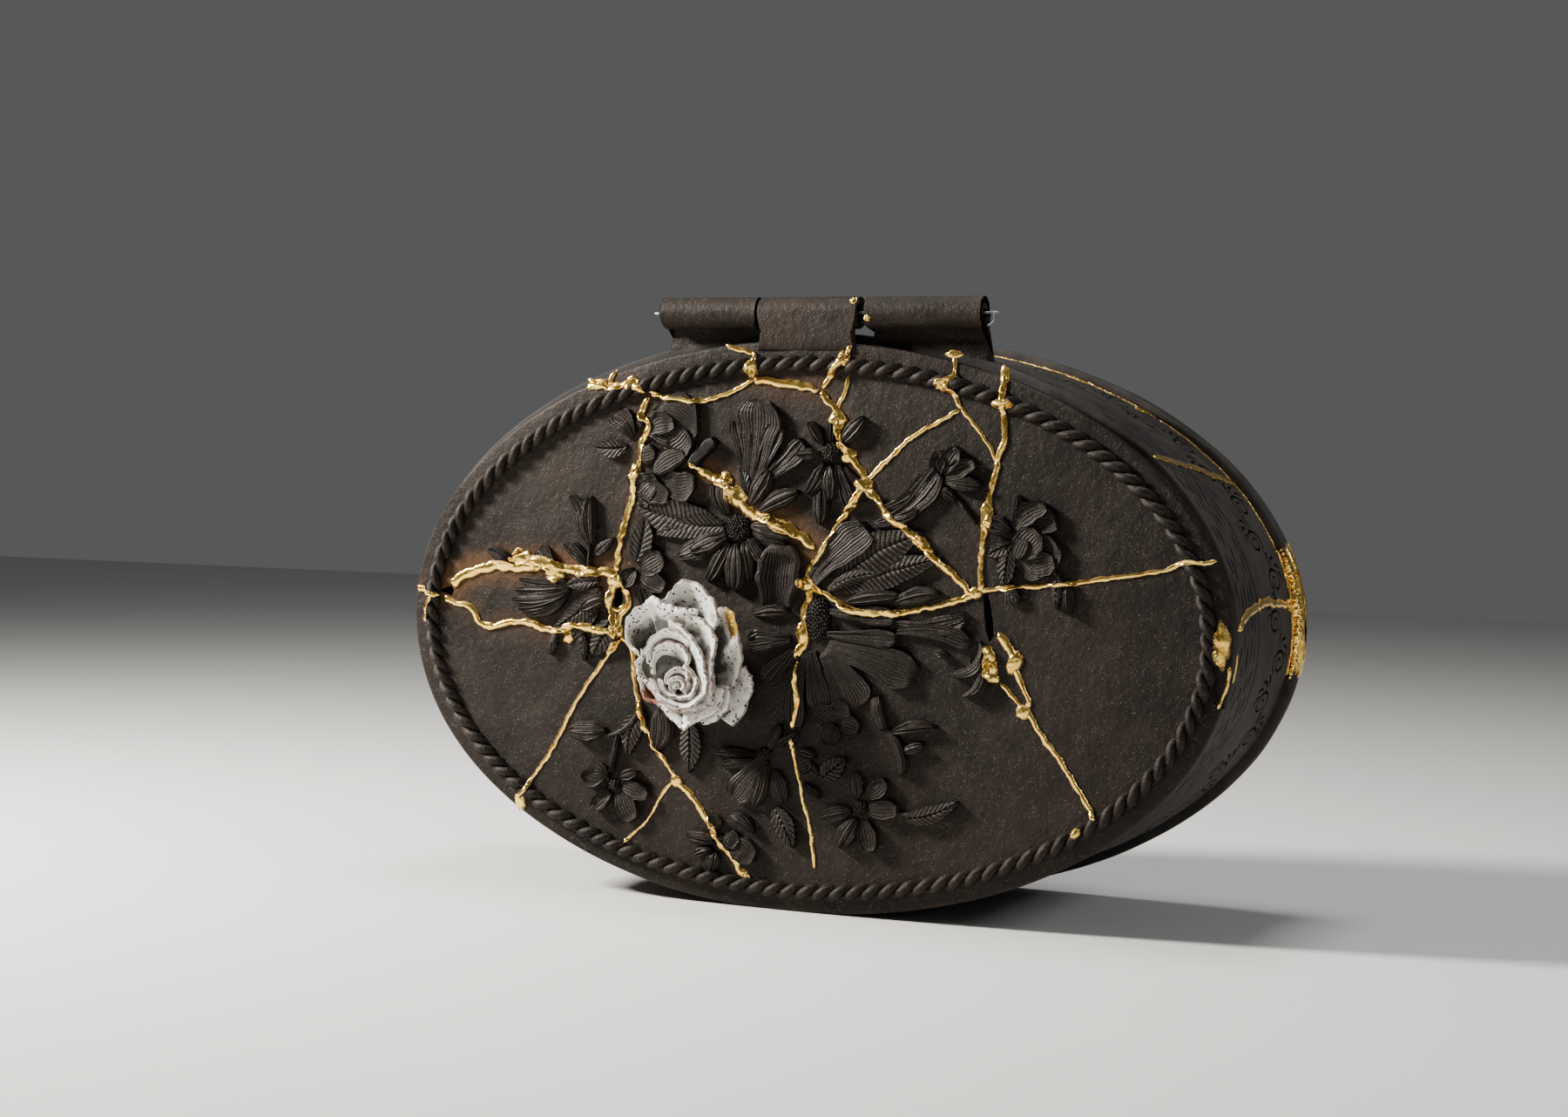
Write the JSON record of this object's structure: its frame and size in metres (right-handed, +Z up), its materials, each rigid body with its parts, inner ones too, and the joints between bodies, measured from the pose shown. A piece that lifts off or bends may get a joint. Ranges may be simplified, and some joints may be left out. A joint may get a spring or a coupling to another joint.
{
  "type": "hinged oval box",
  "caption": "Hollow oval black clay box standing on its long edge, with a hinged lid in front, a rope border, low flowers, gold repair seams and a white rose knob.",
  "frame": {"origin": "middle of the small flat spot under the body, on which the box stands on its long edge", "axes": "+X along the oval's length, +Z up along its height, -Y the way the lid faces, +Y towards the base plate at the back"},
  "size_m": [0.349, 0.1379, 0.2354],
  "materials": {
    "black_clay": "unglazed, matte and slightly grainy, near-black brown",
    "white_glaze": "white glaze with dark specks and brown petal edges",
    "grey_wire": "dull grey wire"
  },
  "bodies": {
    "box": {"body": "black_clay", "hinge_wire": "grey_wire"},
    "lid": {"lid": "black_clay", "rose_knob": "white_glaze"}
  },
  "joints": [
    {"name": "lid_hinge", "type": "hinge", "parent": "box", "child": "lid", "pos_m": [0.0015, -0.049, 0.229], "axis": [-1, 0, 0], "range_deg": [0, 180]}
  ]
}
